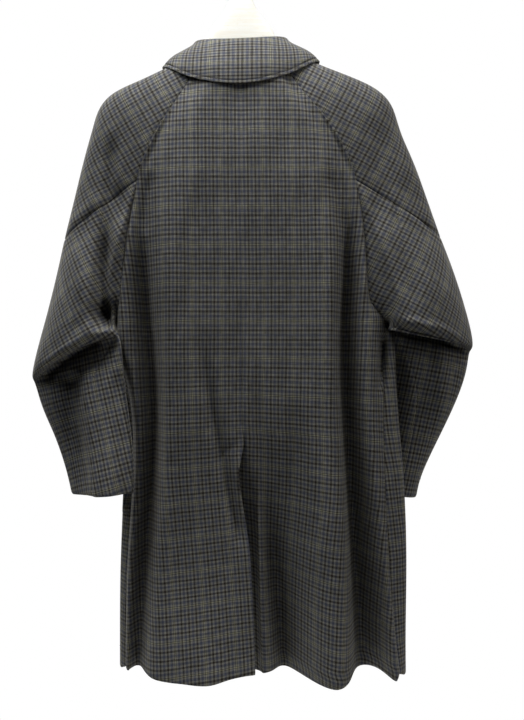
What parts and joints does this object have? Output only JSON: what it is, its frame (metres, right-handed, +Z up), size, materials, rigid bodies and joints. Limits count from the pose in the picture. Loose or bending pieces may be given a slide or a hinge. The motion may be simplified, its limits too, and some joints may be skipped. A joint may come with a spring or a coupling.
{
  "type": "balmacaan coat on a hanger",
  "caption": "Knee-length raglan coat in checked wool, hung by its hanger's hook with its back shown, open at neck, cuffs, hem and back vent.",
  "frame": {"origin": "top of the inside of the hanger's hook, where it hangs on a rail", "axes": "+Z up, the coat's back towards -Y, +X to the right for someone who looks at the back"},
  "size_m": [0.6806, 0.2306, 1.1142],
  "materials": {
    "wool": "matt checked wool",
    "wood": "pale satin lacquer",
    "steel": "bright"
  },
  "bodies": {
    "root": {"back_left": "wool", "back_right": "wool", "front_left": "wool", "front_right": "wool", "yoke_left": "wool", "yoke_right": "wool", "top_sleeve_left": "wool", "top_sleeve_right": "wool", "under_sleeve_left": "wool", "under_sleeve_right": "wool", "collar": "wool", "hanger": "wood", "hook": "steel"}
  },
  "joints": []
}
